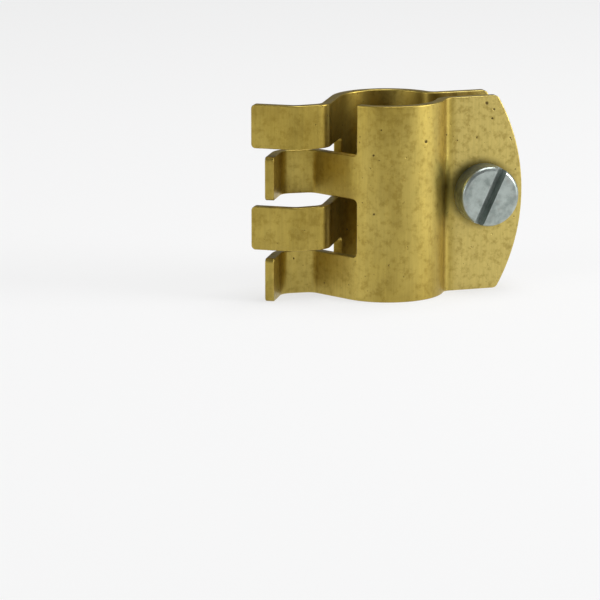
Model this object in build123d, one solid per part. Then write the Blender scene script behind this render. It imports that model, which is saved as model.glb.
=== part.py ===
from build123d import *
import math
import os

# Earth rod clamp: two brass stampings that hook into each other and are drawn
# together by one screw. Millimetres. The origin is on the rod's axis at half the
# clamp's height, +Z runs up the rod, +X points to the flanges with the screw, and
# the screw's head faces -Y.

# Rod and conductor that the clamp is made for
ROD_RADIUS = 8.0
CONDUCTOR_DIAMETER = 4.7

# Sheet that both jaws are stamped from
SHEET = 1.5
EDGE_ROUND = 0.2
CORNER_ROUND = 1.0
NOTCH_ROUND = 0.8
TIP_ROUND = 0.7

# Fingers, of which each jaw has two
FINGER_HEIGHT = 7.2
FINGER_GAP = 1.2
FINGER_LEAN = 60.0
POCKET_LEAN = 5.0
POCKET_BEND = 1.85
POCKET_FLAT = 2.6
CURL_BEND = 2.25
TAIL_LENGTH = 8.4
FRONT_CURL = 65.0
REAR_CURL = 38.0
NOTCH_ANGLE = 51.0

# Flanges
FLANGE_GAP = 4.0
FLANGE_BEYOND_SCREW = 6.9
FLANGE_END_RADIUS = 32.0
SHOULDER_BEND = 1.5

# Screw, nut and the holes that they go through
HEAD_TO_SHOULDER = 0.702
THREAD_DIAMETER = 6.0
THREAD_CLEARANCE = 0.05
HOLE_CLEARANCE = 0.8
HEAD_DIAMETER = 10.0
HEAD_HEIGHT = 3.9
HEAD_ROUND = 0.7
DRIVE_WIDTH = 1.6
DRIVE_DEPTH = 2.0
DRIVE_ANGLE = 25.0
SHANK_BEYOND_NUT = 4.0
SHANK_CHAMFER = 0.7
NUT_ACROSS_FLATS = 10.0
NUT_HEIGHT = 5.0
NUT_CHAMFER_ANGLE = 30.0

JAW_HEIGHT = 4 * FINGER_HEIGHT + 3 * FINGER_GAP
SEAT_MIDDLE = ROD_RADIUS + SHEET / 2
FLANGE_MIDDLE = (FLANGE_GAP + SHEET) / 2
FLANGE_OUTSIDE = FLANGE_GAP / 2 + SHEET
SHOULDER_MIDDLE = SHOULDER_BEND + SHEET / 2
SHOULDER_DEPTH = FLANGE_MIDDLE + SHOULDER_MIDDLE
SHOULDER_X = math.sqrt((SEAT_MIDDLE + SHOULDER_MIDDLE) ** 2 - SHOULDER_DEPTH ** 2)
SCREW_X = SHOULDER_X + HEAD_TO_SHOULDER + HEAD_DIAMETER / 2
SHANK_LENGTH = 2 * FLANGE_OUTSIDE + NUT_HEIGHT + SHANK_BEYOND_NUT
FLANGE_REACH = SCREW_X + FLANGE_BEYOND_SCREW
BIG = 4 * FLANGE_REACH


def heading(angle):
    """Unit vector in the plan, angle in degrees from +X."""
    return Vector(math.cos(math.radians(angle)), math.sin(math.radians(angle)))


def fold_steps(curl):
    """Turns of the front jaw's middle line, from the flange's end to a finger's tip.

    Each step is a straight length, or a bend as radius and turn, where a turn to
    the left is positive. The shoulder bend touches the seat's arc from outside, and
    the pocket's flat passes half a conductor and half a sheet from the clamp's
    middle plane.
    """
    shoulder_turn = math.degrees(math.acos(SHOULDER_DEPTH / (SEAT_MIDDLE + SHOULDER_MIDDLE)))
    pocket = POCKET_BEND + SHEET / 2
    lean = math.radians(FINGER_LEAN)
    pocket_rise = pocket * (math.cos(math.radians(POCKET_LEAN)) - math.cos(lean))
    leave_y = -SEAT_MIDDLE * math.cos(lean)
    pocket_y = (CONDUCTOR_DIAMETER + SHEET) / 2 - pocket_rise
    crossing = (pocket_y - leave_y) / math.sin(lean)
    curled = (CURL_BEND + SHEET / 2) * math.radians(curl)
    return [
        ("straight", FLANGE_REACH - SHOULDER_X),
        ("bend", SHOULDER_MIDDLE, shoulder_turn),
        ("bend", SEAT_MIDDLE, -(shoulder_turn + FINGER_LEAN)),
        ("straight", crossing),
        ("bend", pocket, FINGER_LEAN - POCKET_LEAN),
        ("straight", POCKET_FLAT),
        ("bend", CURL_BEND + SHEET / 2, curl),
        ("straight", TAIL_LENGTH - curled),
    ]


def sheet_face(steps, shift):
    """One face of the folded sheet, shift to the left of its middle line."""
    point = Vector(FLANGE_REACH, -FLANGE_MIDDLE - shift)
    angle = 180.0
    pieces = []
    for step in steps:
        if step[0] == "straight":
            piece = Line(point, point + heading(angle) * step[1])
        else:
            radius, turn = step[1], step[2]
            face_radius = radius - math.copysign(1, turn) * shift
            piece = JernArc(point, heading(angle), face_radius, turn)
            angle += turn
        point = piece @ 1
        pieces.append(piece)
    return pieces


def folded_sheet(curl):
    """The whole sheet at the full height of the jaw, folded but not yet cut."""
    steps = fold_steps(curl)
    left = sheet_face(steps, SHEET / 2)
    right = sheet_face(steps, -SHEET / 2)
    ends = [Line(left[0] @ 0, right[0] @ 0), Line(left[-1] @ 1, right[-1] @ 1)]
    section = make_face(left + right + ends)
    return extrude(Pos(0, 0, -JAW_HEIGHT / 2) * section, amount=JAW_HEIGHT)


def notch(bottom, top):
    """Cutter for the room between fingers, from height bottom to height top.

    Its end lies in the plane through the rod's axis that stands NOTCH_ANGLE from
    the jaw's apex, so the cut's end is square to the sheet, with rounded corners.
    """
    block = Pos(0, BIG / 2, (bottom + top) / 2) * Box(BIG, BIG, top - bottom)
    root = block.faces().sort_by(Axis.Y)[0].edges().filter_by(Axis.X)
    block = fillet(root, NOTCH_ROUND)
    return Rot(0, 0, 90 - NOTCH_ANGLE) * block


def flange_outline():
    """The jaw's outline seen from the front, with the flange's curved end."""
    half = JAW_HEIGHT / 2
    corner_x = FLANGE_REACH - FLANGE_END_RADIUS + math.sqrt(FLANGE_END_RADIUS ** 2 - half ** 2)
    end = ThreePointArc((corner_x, half), (FLANGE_REACH, 0), (corner_x, -half))
    back = Polyline((corner_x, -half), (-BIG, -half), (-BIG, half), (corner_x, half))
    outline = make_face([end] + back.edges())
    corners = outline.vertices().sort_by(Axis.X)[-2:]
    return fillet(corners, CORNER_ROUND)


def jaw(curl):
    """Front jaw: the sheet cut to its outline, with notches, hole and rounded edges."""
    half = JAW_HEIGHT / 2
    pitch = FINGER_HEIGHT + FINGER_GAP
    body = folded_sheet(curl)
    body &= extrude(Plane.XZ * flange_outline(), amount=BIG / 2, both=True)
    body -= notch(half - pitch, half + pitch)
    body -= notch(-half + FINGER_HEIGHT, half - pitch - FINGER_HEIGHT)
    hole = Cylinder(THREAD_DIAMETER / 2 + HOLE_CLEARANCE, BIG, rotation=(90, 0, 0))
    body -= Pos(SCREW_X, 0, 0) * hole
    tips = body.faces().filter_by(Axis((0, 0, 0), heading(180 - POCKET_LEAN + curl)))
    body = fillet(tips.edges().filter_by(Axis.Z, reverse=True), TIP_ROUND)
    return fillet(body.edges(), EDGE_ROUND)


def front_jaw():
    """The jaw whose fingers pass behind the conductor."""
    return jaw(FRONT_CURL)


def rear_jaw():
    """The same stamping turned over about X, its fingers left more open."""
    return Rot(180, 0, 0) * jaw(REAR_CURL)


def clamp_screw():
    """Slotted cheese head screw, its thread drawn as a plain shank."""
    head = Cylinder(HEAD_DIAMETER / 2, HEAD_HEIGHT, align=(Align.CENTER, Align.CENTER, Align.MIN))
    head = fillet(head.faces().sort_by(Axis.Z)[-1].edges(), HEAD_ROUND)
    slot = Box(DRIVE_WIDTH, 2 * HEAD_DIAMETER, DRIVE_DEPTH, align=(Align.CENTER, Align.CENTER, Align.MIN))
    head -= Pos(0, 0, HEAD_HEIGHT - DRIVE_DEPTH) * Rot(0, 0, -DRIVE_ANGLE) * slot
    shank_radius = THREAD_DIAMETER / 2 - THREAD_CLEARANCE
    shank = Cylinder(shank_radius, SHANK_LENGTH, align=(Align.CENTER, Align.CENTER, Align.MAX))
    shank = chamfer(shank.faces().sort_by(Axis.Z)[0].edges(), SHANK_CHAMFER)
    return Pos(SCREW_X, -FLANGE_OUTSIDE, 0) * Rot(90, 0, 0) * (head + shank)


def clamp_nut():
    """Hexagon nut with both ends chamfered, flats standing up."""
    hexagon = RegularPolygon(NUT_ACROSS_FLATS / 2, 6, major_radius=False, rotation=30)
    blank = extrude(hexagon, amount=NUT_HEIGHT)
    corner = NUT_ACROSS_FLATS / math.sqrt(3)
    drop = (corner - NUT_ACROSS_FLATS / 2) * math.tan(math.radians(NUT_CHAMFER_ANGLE))
    turned = Cylinder(corner, NUT_HEIGHT, align=(Align.CENTER, Align.CENTER, Align.MIN))
    turned = chamfer(turned.edges().filter_by(GeomType.CIRCLE), drop, corner - NUT_ACROSS_FLATS / 2)
    bore = Cylinder(THREAD_DIAMETER / 2, 4 * NUT_HEIGHT)
    return Pos(SCREW_X, FLANGE_OUTSIDE, 0) * Rot(-90, 0, 0) * ((blank & turned) - bore)


os.makedirs("parts", exist_ok=True)
PIECES = {
    "front_jaw": front_jaw,
    "rear_jaw": rear_jaw,
    "clamp_screw": clamp_screw,
    "clamp_nut": clamp_nut,
}
for name, make in PIECES.items():
    export_step(make(), f"parts/{name}.step")
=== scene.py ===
import math

import bmesh
import bpy
import numpy as np
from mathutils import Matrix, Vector


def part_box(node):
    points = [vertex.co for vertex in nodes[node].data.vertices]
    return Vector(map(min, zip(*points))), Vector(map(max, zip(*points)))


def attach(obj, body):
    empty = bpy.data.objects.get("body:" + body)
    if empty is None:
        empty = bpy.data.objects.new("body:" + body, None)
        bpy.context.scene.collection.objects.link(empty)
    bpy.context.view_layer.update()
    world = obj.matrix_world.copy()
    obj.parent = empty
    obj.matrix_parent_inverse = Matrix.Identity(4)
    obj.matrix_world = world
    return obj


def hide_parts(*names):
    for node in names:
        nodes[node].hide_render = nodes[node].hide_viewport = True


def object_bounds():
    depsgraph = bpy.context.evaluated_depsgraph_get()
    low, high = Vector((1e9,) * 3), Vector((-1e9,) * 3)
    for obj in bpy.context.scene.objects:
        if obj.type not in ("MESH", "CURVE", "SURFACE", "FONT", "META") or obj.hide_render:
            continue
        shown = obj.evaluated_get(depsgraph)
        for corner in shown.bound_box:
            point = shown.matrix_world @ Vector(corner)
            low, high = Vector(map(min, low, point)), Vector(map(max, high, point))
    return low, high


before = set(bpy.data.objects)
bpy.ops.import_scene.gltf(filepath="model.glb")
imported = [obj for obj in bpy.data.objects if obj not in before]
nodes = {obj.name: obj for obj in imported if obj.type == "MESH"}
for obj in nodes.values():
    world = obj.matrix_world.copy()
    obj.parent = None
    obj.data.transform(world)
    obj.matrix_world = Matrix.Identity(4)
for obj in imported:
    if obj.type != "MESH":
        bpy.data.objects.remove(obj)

cad_low, cad_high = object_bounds()
MM = 0.001

# ---------------------------------------------------------------- brass sheet
# Both jaws are stampings of the same brass strip. The strip has fine vertical
# draw marks from the rolling, and years of handling have dulled it: a brown
# tarnish in cloudy patches, small dark pits, and bare metal on the edges.

CLOUD_SCALE = 190.0
PIT_SCALE = 1500.0
GRAIN_SCALE = 2600.0
GRAIN_ALONG = 0.06
EDGE_REACH = 0.35 * MM
PATCH_SCALE = 62.0
PATCH_ALONG = 0.55
SPECK_SCALE = 900.0
GREEN_SCALE = 95.0

BRASS_LIGHT = (0.52, 0.400, 0.100)
BRASS_MID = (0.40, 0.290, 0.052)
BRASS_DULL = (0.25, 0.165, 0.022)
BRASS_PIT = (0.05, 0.030, 0.010)
BRASS_EDGE = (0.66, 0.51, 0.16)
BRASS_GREEN = (0.29, 0.28, 0.065)
# Painted highlight, laid on the flanges.
BRASS_PAINTED_HIGHLIGHT = (0.68, 0.545, 0.175)
# Painted shade for the ring round the screw's head.
BRASS_PAINTED_SHADE = (0.085, 0.06, 0.014)
BRASS_METALLIC = 0.92
BRASS_BUMP = 0.55
BRASS_BUMP_DEPTH = 0.06 * MM

# The flanges carry a painted highlight that makes them brighter than the seat, and painted shade lies
# in a ring round the screw's head.
FLANGE_START = 9.6 * MM
HIGHLIGHT_BLEND = 1.6 * MM
SCREW_AXIS_X = 15.5 * MM
# Painted shade round the screw's head: the ring's inner and outer radius, and how ragged its rim is.
SHADE_RING_START = 5.3 * MM
SHADE_RING_END = 7.2 * MM
SHADE_RING_RAGGED = 1.4 * MM

# Deep pits that stand out on the front jaw: place in millimetres, then radius.
DEEP_PITS = [
    ((16.0, -3.5, 15.0), 0.42),
    ((3.6, -8.8, 10.1), 0.40),
    ((17.3, -3.5, 13.9), 0.26),
    ((-5.1, -8.0, 8.2), 0.26),
    ((-5.0, -8.05, -1.5), 0.24),
    ((-4.0, -8.6, 12.4), 0.18),
    ((20.2, -3.5, 9.0), 0.20),
]


def feed(tree, socket, value):
    """Gives an input its value, which is another socket, a number, a vector or a colour."""
    if isinstance(value, bpy.types.NodeSocket):
        tree.links.new(value, socket)
    elif isinstance(value, tuple) and len(value) < len(socket.default_value):
        socket.default_value = (*value, 1.0)
    else:
        socket.default_value = value


def math_node(tree, kind, *values, clamp=False):
    """The result of a Math node, with each operand a socket or a number."""
    node = tree.nodes.new("ShaderNodeMath")
    node.operation = kind
    node.use_clamp = clamp
    for socket, value in zip(node.inputs, values):
        feed(tree, socket, value)
    return node.outputs[0]


def vector_node(tree, kind, *values):
    """A Vector Math node, with each operand a socket or a vector."""
    node = tree.nodes.new("ShaderNodeVectorMath")
    node.operation = kind
    for socket, value in zip(node.inputs, values):
        feed(tree, socket, value)
    return node


def noise_node(tree, vector, scale, detail, rough):
    """A noise value over the surface, about 0.5 on average."""
    node = tree.nodes.new("ShaderNodeTexNoise")
    feed(tree, node.inputs["Vector"], vector)
    feed(tree, node.inputs["Scale"], scale)
    feed(tree, node.inputs["Detail"], detail)
    feed(tree, node.inputs["Roughness"], rough)
    return node.outputs["Fac"]


def step_node(tree, value, low, high, to_low=0.0, to_high=1.0):
    """A smooth step of value from low to high, giving to_low to to_high."""
    node = tree.nodes.new("ShaderNodeMapRange")
    node.interpolation_type = "SMOOTHSTEP"
    feed(tree, node.inputs["Value"], value)
    feed(tree, node.inputs["From Min"], low)
    feed(tree, node.inputs["From Max"], high)
    feed(tree, node.inputs["To Min"], to_low)
    feed(tree, node.inputs["To Max"], to_high)
    return node.outputs["Result"]


def mix_color(tree, factor, first, second):
    """A colour mix, with each operand a socket, a number or a colour."""
    node = tree.nodes.new("ShaderNodeMix")
    node.data_type = "RGBA"
    colors = [socket for socket in node.inputs if socket.type == "RGBA"]
    feed(tree, node.inputs[0], factor)
    feed(tree, colors[0], first)
    feed(tree, colors[1], second)
    return next(socket for socket in node.outputs if socket.type == "RGBA")


def stretched(tree, vector, scale):
    """The vector with each axis multiplied, which draws a pattern out along the small one."""
    node = tree.nodes.new("ShaderNodeMapping")
    feed(tree, node.inputs["Vector"], vector)
    feed(tree, node.inputs["Scale"], scale)
    return node.outputs["Vector"]


def make_wear_group():
    """Cloudy tarnish, fine grain, pits and worn edges, as masks from 0 to 1.

    Clouds is a large noise and Grain is a noise drawn out along Z. Pits are the rare
    high spots of a fine noise. Edges is where the normal of a slightly rounder
    surface leaves the true one: a smooth step of the dot product of the two.
    """
    group = bpy.data.node_groups.new("surface_wear", "ShaderNodeTree")
    sockets = group.interface
    sockets.new_socket("Vector", in_out="INPUT", socket_type="NodeSocketVector")
    for label, value in (("Cloud Scale", CLOUD_SCALE), ("Pit Scale", PIT_SCALE)):
        sockets.new_socket(label, in_out="INPUT", socket_type="NodeSocketFloat").default_value = value
    for label in ("Clouds", "Grain", "Pits", "Edges"):
        sockets.new_socket(label, in_out="OUTPUT", socket_type="NodeSocketFloat")
    given = group.nodes.new("NodeGroupInput").outputs
    result = group.nodes.new("NodeGroupOutput").inputs

    vector = given["Vector"]
    geometry = group.nodes.new("ShaderNodeNewGeometry")
    bevel = group.nodes.new("ShaderNodeBevel")
    bevel.samples = 6
    bevel.inputs["Radius"].default_value = EDGE_REACH
    bend = vector_node(group, "DOT_PRODUCT", bevel.outputs["Normal"], geometry.outputs["Normal"])
    pits = noise_node(group, vector, given["Pit Scale"], 2.0, 0.5)
    along = stretched(group, vector, (1.0, 1.0, GRAIN_ALONG))
    feed(group, result["Clouds"], noise_node(group, vector, given["Cloud Scale"], 6.0, 0.62))
    feed(group, result["Grain"], noise_node(group, along, GRAIN_SCALE, 3.0, 0.6))
    feed(group, result["Pits"], step_node(group, pits, 0.70, 0.78))
    feed(group, result["Edges"], step_node(group, bend.outputs["Value"], 0.88, 0.99, 1.0, 0.0))
    return group


wear_group = make_wear_group()


def start_metal(name, metallic, cloud_scale, pit_scale):
    """A metal and its wear in Object space, as material, tree, shader, vector and masks."""
    material = bpy.data.materials.new(name)
    material.use_nodes = True
    tree = material.node_tree
    shader = tree.nodes["Principled BSDF"]
    shader.inputs["Metallic"].default_value = metallic
    vector = tree.nodes.new("ShaderNodeTexCoord").outputs["Object"]
    wear = tree.nodes.new("ShaderNodeGroup")
    wear.node_tree = wear_group
    feed(tree, wear.inputs["Vector"], vector)
    feed(tree, wear.inputs["Cloud Scale"], cloud_scale)
    feed(tree, wear.inputs["Pit Scale"], pit_scale)
    return material, tree, shader, vector, wear.outputs


def add_bump(tree, shader, height, strength, depth):
    """Bumps the shader's surface by a height from 0 to about 1."""
    bump = tree.nodes.new("ShaderNodeBump")
    feed(tree, bump.inputs["Height"], height)
    feed(tree, bump.inputs["Strength"], strength)
    feed(tree, bump.inputs["Distance"], depth)
    feed(tree, shader.inputs["Normal"], bump.outputs["Normal"])


def deep_pit(tree, vector, specks, place, radius):
    """Mask of one ragged pit: 1 inside it, falling to 0 past its rim."""
    middle = tuple(value * MM for value in place)
    distance = vector_node(tree, "DISTANCE", vector, middle).outputs["Value"]
    ragged = math_node(tree, "ADD", distance, math_node(tree, "MULTIPLY", specks, 0.9 * radius * MM))
    return step_node(tree, ragged, 0.75 * radius * MM, 1.5 * radius * MM, 1.0, 0.0)


def screw_painted_shade(tree, vector, specks):
    """Mask of the painted shade round the screw's head: a ragged ring about its axis, which lies along
    Y.
    """
    across = vector_node(tree, "MULTIPLY_ADD", vector, (1.0, 0.0, 1.0), (-SCREW_AXIS_X, 0.0, 0.0))
    distance = vector_node(tree, "LENGTH", across.outputs["Vector"]).outputs["Value"]
    ragged = math_node(tree, "MULTIPLY_ADD", specks, SHADE_RING_RAGGED, distance)
    return step_node(tree, ragged, SHADE_RING_START, SHADE_RING_END, 0.75, 0.0)


def make_brass(name, deep_pits):
    """Aged brass: clouded colour, vertical grain, pits and worn edges, with a painted highlight on the
    flanges and painted shade round the screw.
    """
    start = start_metal(name, BRASS_METALLIC, CLOUD_SCALE, PIT_SCALE)
    material, tree, shader, vector, wear = start
    clouds, grain = wear["Clouds"], wear["Grain"]
    specks = noise_node(tree, vector, SPECK_SCALE, 4.0, 0.65)
    patches = noise_node(tree, stretched(tree, vector, (1.0, 1.0, PATCH_ALONG)), PATCH_SCALE, 3.0, 0.5)
    greening = noise_node(tree, vector, GREEN_SCALE, 2.0, 0.5)
    place = tree.nodes.new("ShaderNodeSeparateXYZ")
    feed(tree, place.inputs[0], vector)
    # Mask of the painted highlight on the flanges.
    flange_highlight = step_node(tree, place.outputs["X"], FLANGE_START, FLANGE_START + HIGHLIGHT_BLEND, 0.0, 0.7)

    color = mix_color(tree, step_node(tree, clouds, 0.28, 0.60, 0.3, 1.0), BRASS_DULL, BRASS_MID)
    color = mix_color(tree, step_node(tree, patches, 0.36, 0.66, 0.15, 0.95), color, BRASS_LIGHT)
    # Painted highlight on the flanges.
    color = mix_color(tree, flange_highlight, color, BRASS_PAINTED_HIGHLIGHT)
    # Painted shade in a ragged ring round the screw's head.
    color = mix_color(tree, screw_painted_shade(tree, vector, specks), color, BRASS_PAINTED_SHADE)
    color = mix_color(tree, step_node(tree, specks, 0.44, 0.70, 0.0, 0.5), color, BRASS_DULL)
    streaked = vector_node(tree, "SCALE", color)
    feed(tree, streaked.inputs["Scale"], step_node(tree, grain, 0.35, 0.65, 0.94, 1.03))
    color = streaked.outputs["Vector"]
    color = mix_color(tree, step_node(tree, greening, 0.60, 0.74, 0.0, 0.4), color, BRASS_GREEN)
    color = mix_color(tree, math_node(tree, "MULTIPLY", wear["Edges"], 0.6), color, BRASS_EDGE)
    holes = wear["Pits"]
    for middle, radius in deep_pits:
        holes = math_node(tree, "MAXIMUM", holes, deep_pit(tree, vector, specks, middle, radius))
    color = mix_color(tree, math_node(tree, "MULTIPLY", holes, 0.85), color, BRASS_PIT)
    feed(tree, shader.inputs["Base Color"], color)

    rough = step_node(tree, clouds, 0.30, 0.70, 0.42, 0.30)
    rough = math_node(tree, "ADD", rough, math_node(tree, "MULTIPLY", holes, 0.3), clamp=True)
    feed(tree, shader.inputs["Roughness"], rough)
    height = math_node(tree, "MULTIPLY", grain, 0.15)
    height = math_node(tree, "ADD", height, math_node(tree, "MULTIPLY", specks, 0.5))
    height = math_node(tree, "SUBTRACT", height, math_node(tree, "MULTIPLY", holes, 1.6))
    add_bump(tree, shader, height, BRASS_BUMP, BRASS_BUMP_DEPTH)
    return material


def dress(obj, material):
    """Puts one material on every face of obj."""
    obj.data.materials.clear()
    obj.data.materials.append(material)


# ---------------------------------------------------------------- front jaw
# The jaw that faces forward: half the rod seat, the flange that the screw's head
# bears on, and two fingers that pass behind the conductor. Stamped and folded
# from one strip, its outer face is the one that shows most of the wear.

dress(nodes["front_jaw"], make_brass("front_brass", DEEP_PITS))

# ---------------------------------------------------------------- rear jaw
# The same stamping turned over. Its two fingers come forward past the front jaw's
# and lie over the conductor, and its tails are a little more open.

dress(nodes["rear_jaw"], make_brass("rear_brass", []))

# ---------------------------------------------------------------- clamp screw
# An M6 cheese head screw, headed and slotted, with a rolled thread. Zinc plated
# with a pale blue passivation. The head and its slot are the frame's own mesh, and
# the plain shank is exchanged for one with its thread.

ZINC_LIGHT = (0.45, 0.505, 0.475)
ZINC_DULL = (0.26, 0.30, 0.28)
ZINC_WORN = (0.30, 0.29, 0.26)
ZINC_METALLIC = 0.9
ZINC_CLOUD_SCALE = 420.0
ZINC_PIT_SCALE = 2600.0
ZINC_BLOTCH_SCALE = 900.0
ZINC_BUMP = 0.25
ZINC_BUMP_DEPTH = 0.05 * MM
HEAD_BRIGHTNESS = 1.0
THREAD_BRIGHTNESS = 0.85
NUT_BRIGHTNESS = 0.9

SHANK_LENGTH = 16.0 * MM
THREAD_RADIUS = 2.98 * MM
THREAD_DEPTH = 0.55 * MM
THREAD_PITCH = 1.0 * MM
THREAD_CREST = 0.10
THREAD_ROOT = 0.15
THREAD_AROUND = 60
THREAD_ALONG = 14
THREAD_CHAMFER = 0.7 * MM
HEAD_OVERLAP = 0.4 * MM
MERGE = 0.001 * MM
SHARP_ANGLE = math.radians(35.0)


def make_zinc(name, brightness):
    """Zinc plating: pale blue-grey, slightly clouded, greyer and rougher in patches."""
    start = start_metal(name, ZINC_METALLIC, ZINC_CLOUD_SCALE, ZINC_PIT_SCALE)
    material, tree, shader, vector, wear = start
    light = tuple(brightness * value for value in ZINC_LIGHT)
    blotches = noise_node(tree, vector, ZINC_BLOTCH_SCALE, 5.0, 0.6)
    color = mix_color(tree, step_node(tree, wear["Clouds"], 0.30, 0.62), ZINC_DULL, light)
    color = mix_color(tree, step_node(tree, blotches, 0.52, 0.72, 0.0, 0.45), color, ZINC_WORN)
    color = mix_color(tree, math_node(tree, "MULTIPLY", wear["Pits"], 0.7), color, ZINC_WORN)
    feed(tree, shader.inputs["Base Color"], color)
    feed(tree, shader.inputs["Roughness"], step_node(tree, wear["Clouds"], 0.3, 0.7, 0.42, 0.27))
    height = math_node(tree, "MULTIPLY", blotches, 0.7)
    height = math_node(tree, "SUBTRACT", height, wear["Pits"])
    add_bump(tree, shader, height, ZINC_BUMP, ZINC_BUMP_DEPTH)
    return material


def shade_by_angle(work):
    """Smooth shading, with the edges that turn by more than SHARP_ANGLE kept sharp."""
    for face in work.faces:
        face.smooth = True
    for edge in work.edges:
        if edge.is_manifold and edge.calc_face_angle(0.0) > SHARP_ANGLE:
            edge.smooth = False


def head_of_screw(name, bearing_y, axis_x):
    """The CAD screw's head: everything but the shank, with the hole it leaves closed."""
    mesh = nodes["clamp_screw"].data.copy()
    mesh.name = name
    work = bmesh.new()
    work.from_mesh(mesh)
    bmesh.ops.remove_doubles(work, verts=work.verts, dist=MERGE)
    shank = []
    for face in work.faces:
        middle = face.calc_center_median()
        apart = math.hypot(middle.x - axis_x, middle.z)
        if middle.y > bearing_y - MERGE and apart < THREAD_RADIUS:
            shank.append(face)
    bmesh.ops.delete(work, geom=shank, context="FACES")
    rim = [edge for edge in work.edges if edge.is_boundary]
    bmesh.ops.holes_fill(work, edges=rim)
    shade_by_angle(work)
    work.to_mesh(mesh)
    work.free()
    return mesh


def threaded_shank(start, end, center_x):
    """Grid of a threaded shank about an axis along +Y, as vertices and faces.

    Each ring is a circle at one height. The radius falls below the crest by the
    thread's depth times a triangle wave of (height / pitch - turn), flattened at
    crest and root. A cone narrows the point, a plain neck joins the head, and a fan
    of faces closes each end.
    """
    rings = int((end - start) / THREAD_PITCH * THREAD_ALONG)
    heights = np.linspace(start, end, rings + 1)
    height, turn = np.meshgrid(heights, np.arange(THREAD_AROUND) / THREAD_AROUND, indexing="ij")
    wave = np.abs(((height / THREAD_PITCH - turn) % 1.0) * 2 - 1)
    wave = np.clip((wave - THREAD_CREST) / (1 - THREAD_CREST - THREAD_ROOT), 0, 1)
    neck = np.clip((height - start) / THREAD_PITCH - 1, 0, 1)
    radius = THREAD_RADIUS - THREAD_DEPTH * wave * neck
    cone = THREAD_RADIUS - np.clip(height - (end - THREAD_CHAMFER), 0, None)
    radius = np.minimum(radius, cone)
    angle = 2 * math.pi * turn
    side = np.stack([center_x + radius * np.cos(angle), height, -radius * np.sin(angle)], -1)
    side = side.reshape(-1, 3)
    ends = np.array([[center_x, start, 0.0], [center_x, end, 0.0]])

    around = np.arange(THREAD_AROUND)
    after = (around + 1) % THREAD_AROUND
    below = np.arange(rings)[:, None] * THREAD_AROUND
    above = below + THREAD_AROUND
    quads = np.stack([below + around, above + around, above + after, below + after], -1)
    faces = quads.reshape(-1, 4).tolist()
    first, last, top = len(side), len(side) + 1, rings * THREAD_AROUND
    for here, there in zip(around.tolist(), after.tolist()):
        faces.append([here, there, first])
    for here, there in zip(around.tolist(), after.tolist()):
        faces.append([there + top, here + top, last])
    return np.concatenate([side, ends]), faces


def add_object(name, mesh):
    """A new object that shows mesh, in the scene's own collection."""
    obj = bpy.data.objects.new(name, mesh)
    bpy.context.scene.collection.objects.link(obj)
    return obj


def add_mesh(name, vertices, faces):
    """A new mesh object from arrays, its normals turned outwards."""
    mesh = bpy.data.meshes.new(name)
    mesh.from_pydata(vertices.tolist(), [], faces)
    work = bmesh.new()
    work.from_mesh(mesh)
    bmesh.ops.recalc_face_normals(work, faces=work.faces)
    shade_by_angle(work)
    work.to_mesh(mesh)
    work.free()
    return add_object(name, mesh)


screw_low, screw_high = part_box("clamp_screw")
screw_x = (screw_low.x + screw_high.x) / 2
bearing_y = screw_high.y - SHANK_LENGTH

screw_head = add_object("screw_head", head_of_screw("screw_head", bearing_y, screw_x))
dress(screw_head, make_zinc("screw_zinc", HEAD_BRIGHTNESS))
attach(screw_head, "screw")
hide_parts("clamp_screw")

shank_start = bearing_y - HEAD_OVERLAP
screw_thread = add_mesh("screw_thread", *threaded_shank(shank_start, screw_high.y, screw_x))
dress(screw_thread, make_zinc("thread_zinc", THREAD_BRIGHTNESS))
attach(screw_thread, "screw")

# ---------------------------------------------------------------- clamp nut
# The M6 hexagon nut behind the rear flange, cold formed and plated with the screw.
# Its flats and chamfers are the frame's own mesh.

dress(nodes["clamp_nut"], make_zinc("nut_zinc", NUT_BRIGHTNESS))

# ---------------------------------------------------------------- floor, light and camera
# The clamp stands on a wide white table between two soft lamps, the stronger one
# low on its right, with a third overhead.

FLOOR_SIDE = 6.0
FLOOR_WHITE = (0.84, 0.84, 0.84)
FLOOR_GLOW = (1.0, 1.0, 1.0)
GLOW_SHARE = 0.68
WORLD_GREY = (0.62, 0.63, 0.65)
WORLD_STRENGTH = 0.28

# Each lamp's name, place, side and power.
LAMPS = [
    ("key_lamp", (0.52, -0.27, 0.18), 0.30, 2.8),
    ("fill_lamp", (-0.54, -0.16, 0.16), 0.26, 0.9),
    ("top_lamp", (0.12, 0.02, 0.70), 0.40, 2.9),
]

CAMERA_DISTANCE = 0.59
CAMERA_ELEVATION = math.radians(11.0)
CAMERA_AZIMUTH = math.radians(19.0)
CAMERA_LENS = 214.5
AIM_LEFT = 14.3 * MM
AIM_BELOW = 17.5 * MM


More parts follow.
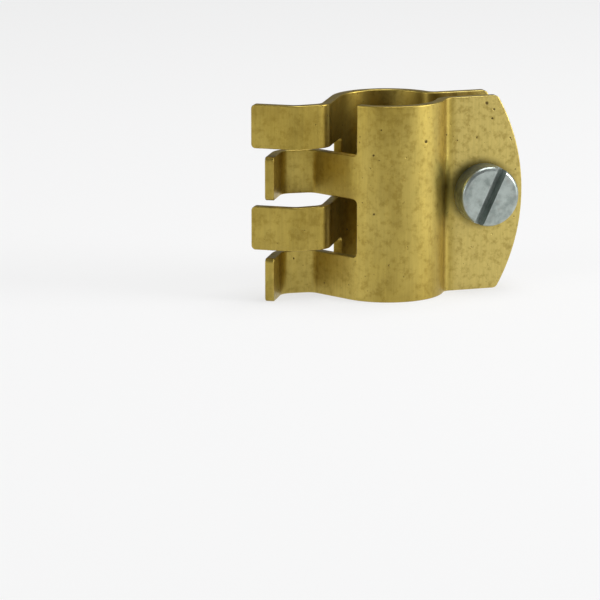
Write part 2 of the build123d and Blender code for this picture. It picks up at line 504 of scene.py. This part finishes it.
def make_floor_material():
    """White table: plain diffuse, lifted towards white where the camera or a reflection sees it."""
    material = bpy.data.materials.new("white_table")
    material.use_nodes = True
    tree = material.node_tree
    tree.nodes.clear()
    output = tree.nodes.new("ShaderNodeOutputMaterial")
    diffuse = tree.nodes.new("ShaderNodeBsdfDiffuse")
    feed(tree, diffuse.inputs["Color"], FLOOR_WHITE)
    glow = tree.nodes.new("ShaderNodeEmission")
    feed(tree, glow.inputs["Color"], FLOOR_GLOW)
    rays = tree.nodes.new("ShaderNodeLightPath").outputs
    seen = math_node(tree, "MAXIMUM", rays["Is Camera Ray"], rays["Is Glossy Ray"])
    seen = math_node(tree, "MAXIMUM", seen, rays["Is Transmission Ray"])
    blend = tree.nodes.new("ShaderNodeMixShader")
    feed(tree, blend.inputs[0], math_node(tree, "MULTIPLY", seen, GLOW_SHARE))
    feed(tree, blend.inputs[1], diffuse.outputs[0])
    feed(tree, blend.inputs[2], glow.outputs[0])
    feed(tree, output.inputs["Surface"], blend.outputs[0])
    return material


def add_softbox(name, place, side, power):
    """A square area lamp at place that points at the clamp's middle."""
    lamp = bpy.data.lights.new(name, "AREA")
    lamp.size = side
    lamp.energy = power
    obj = add_object(name, lamp)
    obj.location = place
    obj.rotation_euler = (-Vector(place)).to_track_quat("-Z", "Y").to_euler()


corners = np.array([[-1, -1, 0], [1, -1, 0], [1, 1, 0], [-1, 1, 0]], float) * FLOOR_SIDE / 2
corners[:, 2] = cad_low[2]
floor = add_mesh("floor", corners, [[0, 1, 2, 3]])
dress(floor, make_floor_material())

for name, place, side, power in LAMPS:
    add_softbox(name, place, side, power)

world = bpy.data.worlds.new("studio")
bpy.context.scene.world = world
world.use_nodes = True
background = world.node_tree.nodes["Background"]
background.inputs["Color"].default_value = (*WORLD_GREY, 1.0)
background.inputs["Strength"].default_value = WORLD_STRENGTH

ahead = Vector((math.sin(CAMERA_AZIMUTH), math.cos(CAMERA_AZIMUTH), 0.0))
right = Vector((math.cos(CAMERA_AZIMUTH), -math.sin(CAMERA_AZIMUTH), 0.0))
forward = ahead * math.cos(CAMERA_ELEVATION) - Vector((0, 0, 1)) * math.sin(CAMERA_ELEVATION)
up = right.cross(forward)
camera = add_object("camera", bpy.data.cameras.new("camera"))
camera.data.lens = CAMERA_LENS
camera.location = -forward * CAMERA_DISTANCE
aim = -right * AIM_LEFT - up * AIM_BELOW
camera.rotation_euler = (aim - camera.location).to_track_quat("-Z", "Y").to_euler()
bpy.context.scene.camera = camera
bpy.context.scene.view_settings.view_transform = "Standard"
